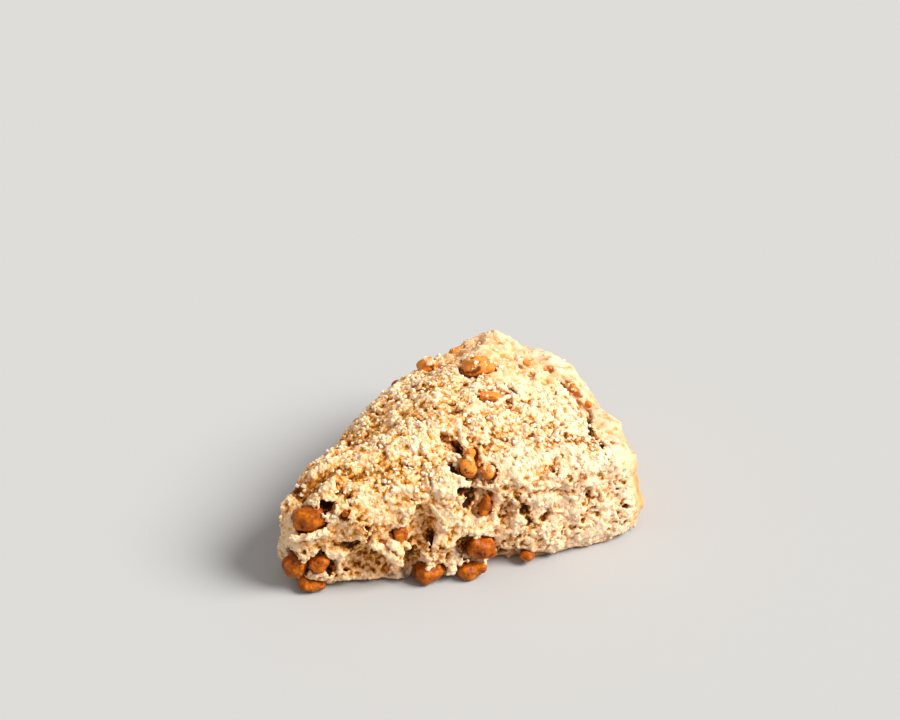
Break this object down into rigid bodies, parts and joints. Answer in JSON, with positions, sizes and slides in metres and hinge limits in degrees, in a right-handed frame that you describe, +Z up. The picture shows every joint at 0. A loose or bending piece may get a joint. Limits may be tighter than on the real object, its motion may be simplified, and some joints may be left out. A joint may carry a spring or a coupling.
{
  "type": "scone",
  "caption": "Wedge-cut baked scone: a rough torn-crumb dough body with a sugared top and cinnamon chips seated in pockets, resting flat on its baked base.",
  "frame": {"origin": "on the flat resting face, under the middle of the bounding box", "axes": "+Z up; +X from the wedge's tip to its round rim; the front cut face looks towards -Y"},
  "size_m": [0.1078, 0.0774, 0.0415],
  "materials": {
    "baked_dough": "matt baked crumb, cream inside the torn places and golden on the peaks and the base",
    "cinnamon_chip": "waxy orange-brown cinnamon baking chip, softly shiny",
    "coarse_sugar": "pale translucent coarse sugar grains"
  },
  "bodies": {
    "root": {"scone_body": "baked_dough", "chip_tip_upper": "cinnamon_chip", "chip_tip_lower": "cinnamon_chip", "chip_tip_side": "cinnamon_chip", "chip_tip_foot": "cinnamon_chip", "chip_foot_left": "cinnamon_chip", "chip_foot_mid": "cinnamon_chip", "chip_foot_under": "cinnamon_chip", "chip_foot_small": "cinnamon_chip", "chip_ridge": "cinnamon_chip", "chip_ridge_side": "cinnamon_chip", "chip_ridge_small": "cinnamon_chip", "chip_upright": "cinnamon_chip", "chip_top_large": "cinnamon_chip", "chip_top_low": "cinnamon_chip", "chip_back_edge": "cinnamon_chip", "chip_back_edge_thin": "cinnamon_chip", "chip_face_mid": "cinnamon_chip", "chip_face_tiny": "cinnamon_chip", "chip_rim_crack": "cinnamon_chip", "chip_rim_crack_end": "cinnamon_chip", "chip_rim_corner": "cinnamon_chip", "chip_rim_lip": "cinnamon_chip", "chip_top_far": "cinnamon_chip", "chip_top_far_low": "cinnamon_chip", "chip_top_rim": "cinnamon_chip", "chip_back_tip": "cinnamon_chip", "chip_back_low": "cinnamon_chip", "chip_back_high": "cinnamon_chip", "chip_back_large": "cinnamon_chip", "chip_back_foot": "cinnamon_chip", "chip_back_round": "cinnamon_chip", "chip_back_small": "cinnamon_chip", "chip_rim_side": "cinnamon_chip", "chip_rim_low": "cinnamon_chip"}
  },
  "joints": []
}
